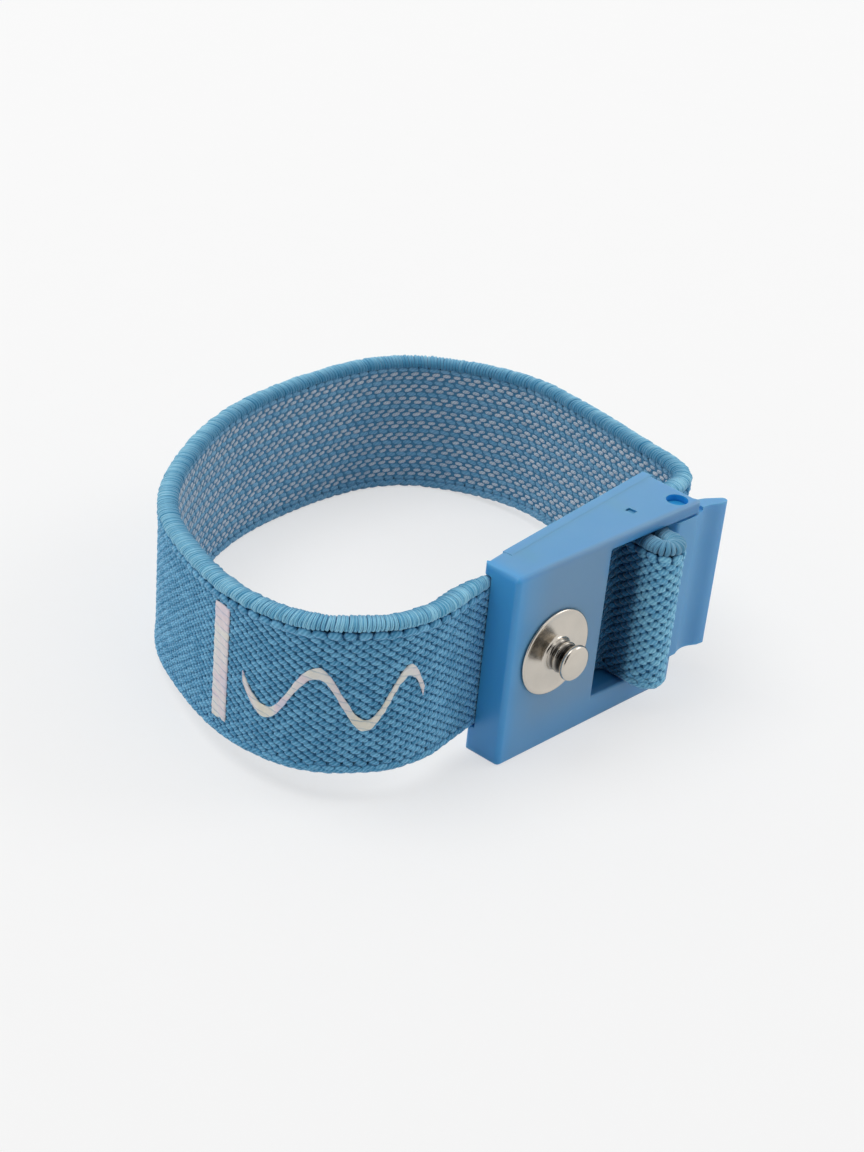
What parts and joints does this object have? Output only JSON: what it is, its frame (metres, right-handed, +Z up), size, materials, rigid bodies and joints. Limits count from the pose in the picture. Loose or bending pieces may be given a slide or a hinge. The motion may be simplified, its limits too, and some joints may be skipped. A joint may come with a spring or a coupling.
{
  "type": "esd wrist strap",
  "caption": "Anti-static wrist strap: elastic woven band in a wedge clasp with a cam lever, a snap stud for an earthing lead and a contact plate on the wrist side.",
  "frame": {"origin": "on the table under the middle of the strap's footprint", "axes": "+X along the clasp's front face from the strap's fixed end to the lever, -Y the way the snap stud points, +Z up"},
  "size_m": [0.0646, 0.0593, 0.0225],
  "materials": {
    "clasp_plastic": "satin moulded",
    "cover_plastic": "satin moulded",
    "lever_plastic": "satin moulded",
    "pin_plastic": "satin moulded",
    "plate_steel": "brushed",
    "stud_nickel": "satin nickel plate",
    "rivet_nickel": "nickel plate",
    "spring_bronze": "bright",
    "knit": "ribbed knit",
    "rubber_threads": "matt",
    "silver_knit": "knit with silver yarn",
    "edge_yarn": "wrapped yarn",
    "thread": "thread",
    "pearl_film": "pearlescent"
  },
  "bodies": {
    "clasp_and_strap": {"clasp_housing": "clasp_plastic", "back_cover": "cover_plastic", "skin_plate": "plate_steel", "hinge_pin": "pin_plastic", "snap_stud": "stud_nickel", "stud_rivet": "rivet_nickel", "rivet_washer": "rivet_nickel", "contact_spring": "spring_bronze", "strap_face": "knit", "strap_core": "rubber_threads", "strap_lining": "silver_knit", "strap_top_cord": "edge_yarn", "strap_bottom_cord": "edge_yarn", "strap_fixed_end": "knit", "fixed_end_stitches": "thread", "loop_web": "knit", "loop_top_cord": "edge_yarn", "loop_bottom_cord": "edge_yarn", "pearl_wave": "pearl_film", "pearl_bar": "pearl_film"},
    "lever": {"clamp_lever": "lever_plastic"}
  },
  "joints": [
    {"name": "lever_hinge", "type": "hinge", "parent": "clasp_and_strap", "child": "lever", "pos_m": [0.01565, -0.0242, 0.0121], "axis": [0, 0, -1], "range_deg": [0, 75]}
  ]
}
